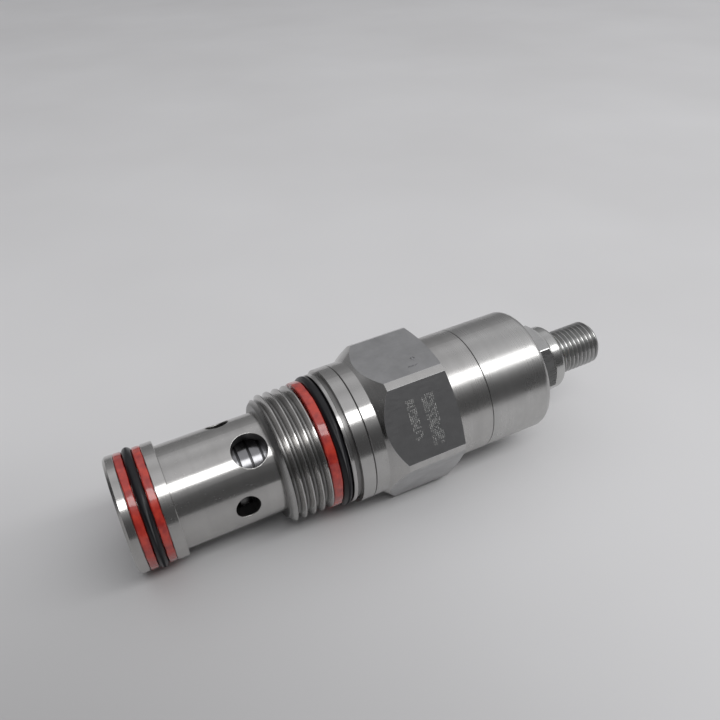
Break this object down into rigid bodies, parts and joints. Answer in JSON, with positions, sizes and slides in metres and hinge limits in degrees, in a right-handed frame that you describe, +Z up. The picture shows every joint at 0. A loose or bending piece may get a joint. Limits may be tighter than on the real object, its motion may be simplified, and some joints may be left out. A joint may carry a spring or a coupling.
{
  "type": "cartridge relief valve",
  "caption": "Screw-in pilot-operated relief cartridge valve with a ported sleeve, nose and shoulder seals, threaded hex adapter, bonnet, adjusting screw and locknut.",
  "frame": {"origin": "on the valve's axis, at the locating shoulder: the front face of the collar that seats on the valve block", "axes": "+X along the axis from the nose to the adjusting screw, +Z up out of one hex flat when the valve lies on the opposite flat"},
  "size_m": [0.1047, 0.032, 0.0286],
  "materials": {
    "sleeve_steel": "ground and plated steel",
    "plated_steel": "machined steel with bright zinc plating",
    "hardened_steel": "hardened and ground steel",
    "screw_steel": "plated steel thread",
    "nut_steel": "plated steel",
    "spring_steel": "drawn spring wire",
    "screen_steel": "perforated stainless sheet",
    "brass": "machined brass",
    "black_rubber": "moulded nitrile rubber, satin",
    "red_backup": "glossy orange-red polyurethane",
    "white_nylon": "moulded nylon"
  },
  "bodies": {
    "cartridge": {"hex_adapter": "plated_steel", "valve_sleeve": "sleeve_steel", "nose_oring": "black_rubber", "nose_backup_front": "red_backup", "nose_backup_rear": "red_backup", "sleeve_retaining_ring": "spring_steel", "shoulder_oring": "black_rubber", "shoulder_backup_ring": "red_backup", "seat_carrier": "sleeve_steel", "carrier_oring": "black_rubber", "pilot_seat": "hardened_steel", "bonnet": "plated_steel", "bonnet_oring": "black_rubber", "piston_spring": "spring_steel", "pilot_spring": "spring_steel"},
    "piston": {"main_piston": "hardened_steel", "orifice_plug": "brass", "filter_screen": "screen_steel", "screen_retaining_ring": "spring_steel"},
    "poppet": {"pilot_poppet": "hardened_steel"},
    "spring_pad": {"spring_pad": "hardened_steel"},
    "adjuster": {"adjusting_screw": "screw_steel", "adjuster_oring": "black_rubber", "adjuster_backup_ring": "red_backup"},
    "locknut": {"locknut": "nut_steel", "locknut_insert": "white_nylon"}
  },
  "joints": [
    {"name": "piston_lift", "type": "slide", "parent": "cartridge", "child": "piston", "axis": [1, 0, 0], "range_m": [0, 0.0045], "stiffness_N_per_m": 3000, "springref_m": -0.008, "deforming": ["piston_spring"]},
    {"name": "poppet_lift", "type": "slide", "parent": "cartridge", "child": "poppet", "axis": [1, 0, 0], "range_m": [0, 0.0006], "stiffness_N_per_m": 20000, "springref_m": -0.0015, "deforming": ["pilot_spring"]},
    {"name": "adjust_travel", "type": "slide", "parent": "cartridge", "child": "spring_pad", "axis": [1, 0, 0], "range_m": [-0.00265, 0.00265]},
    {"name": "adjust_turn", "type": "hinge", "parent": "spring_pad", "child": "adjuster", "pos_m": [0.045, 0, 0], "axis": [1, 0, 0], "range_deg": [-900, 900]},
    {"name": "locknut_turn", "type": "hinge", "parent": "cartridge", "child": "locknut", "pos_m": [0.0473, 0, 0], "axis": [1, 0, 0], "range_deg": [0, 180]}
  ],
  "couplings": [
    {"joint": "adjust_turn", "follows": "adjust_travel", "rad_per_m": 5936.9}
  ]
}
